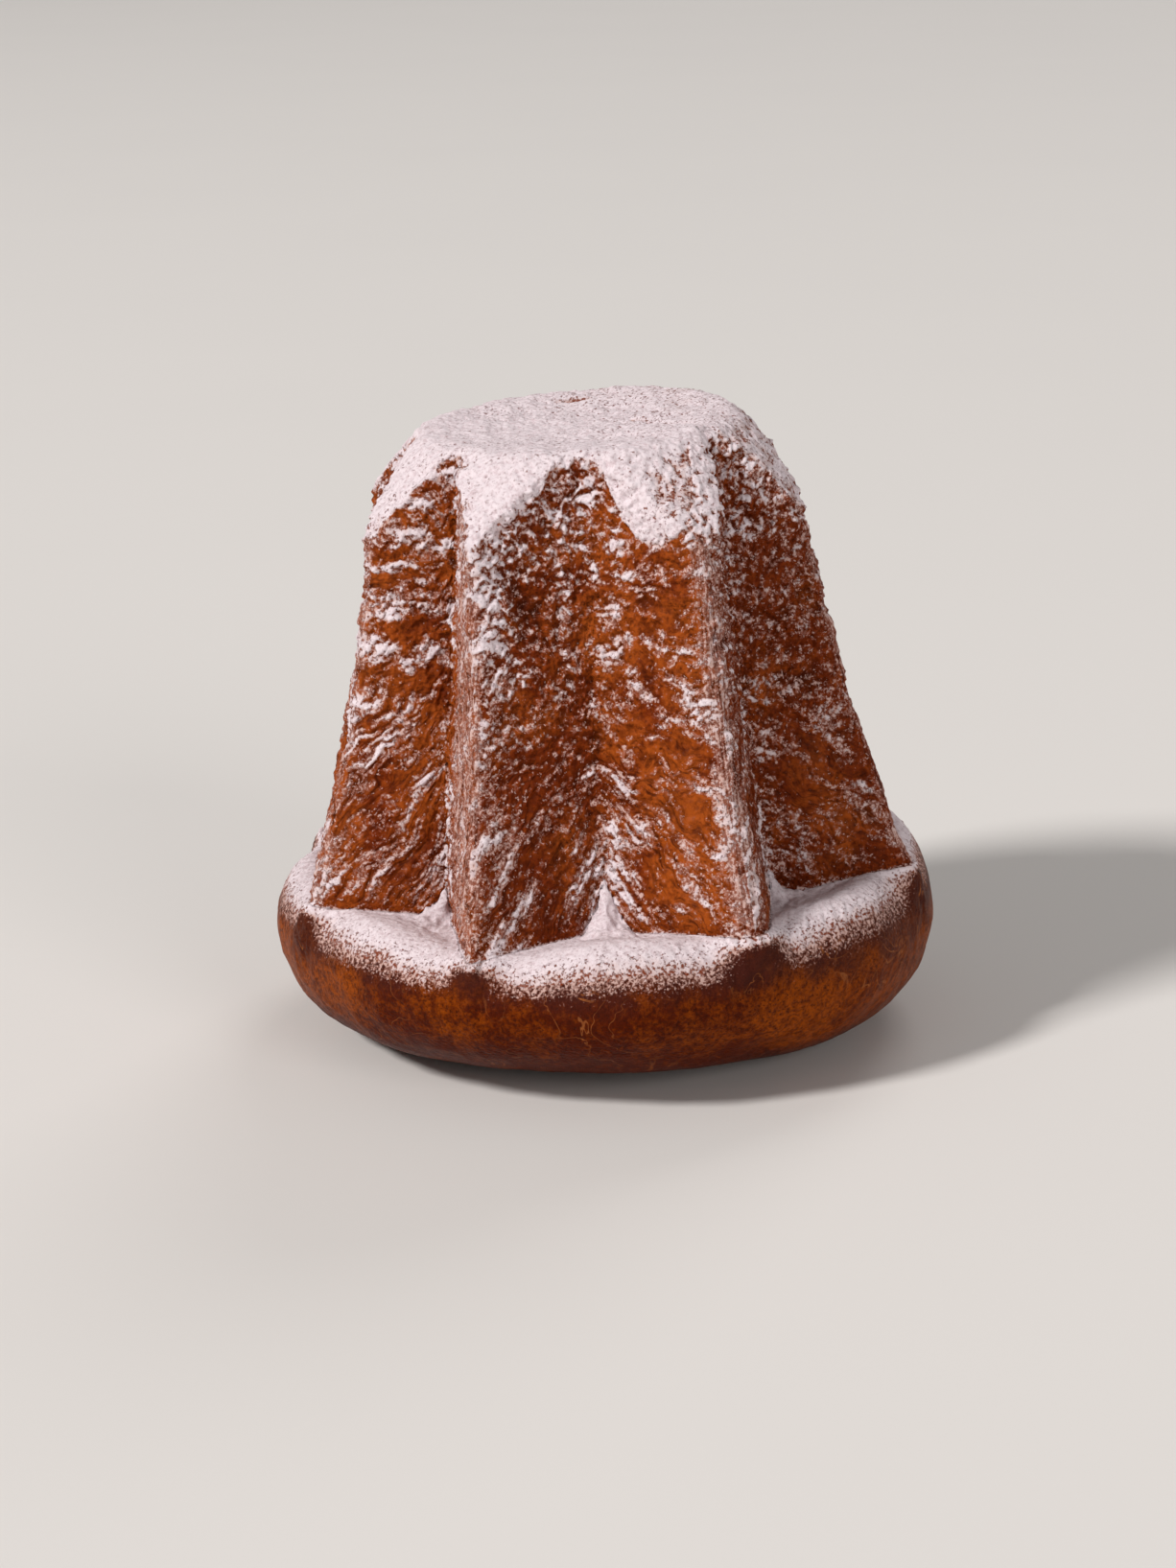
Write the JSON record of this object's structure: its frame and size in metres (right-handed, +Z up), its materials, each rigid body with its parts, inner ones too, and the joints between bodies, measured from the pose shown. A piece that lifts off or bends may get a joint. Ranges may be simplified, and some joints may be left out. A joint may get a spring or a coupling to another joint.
{
  "type": "pandoro",
  "caption": "Tall star-shaped festive cake with a rounded collar at its base, dusted with icing sugar, standing on its flat underside.",
  "frame": {"origin": "middle of the outline in plan, at the height of the underside that the cake rests on", "axes": "+Z up, -Y towards the front, +X to the right"},
  "size_m": [0.2378, 0.2386, 0.2235],
  "materials": {
    "crust": "browned, wrinkled baked crust, satin on the collar",
    "icing_sugar": "matte, powdery icing sugar"
  },
  "bodies": {
    "root": {"pandoro": "crust"}
  },
  "joints": []
}
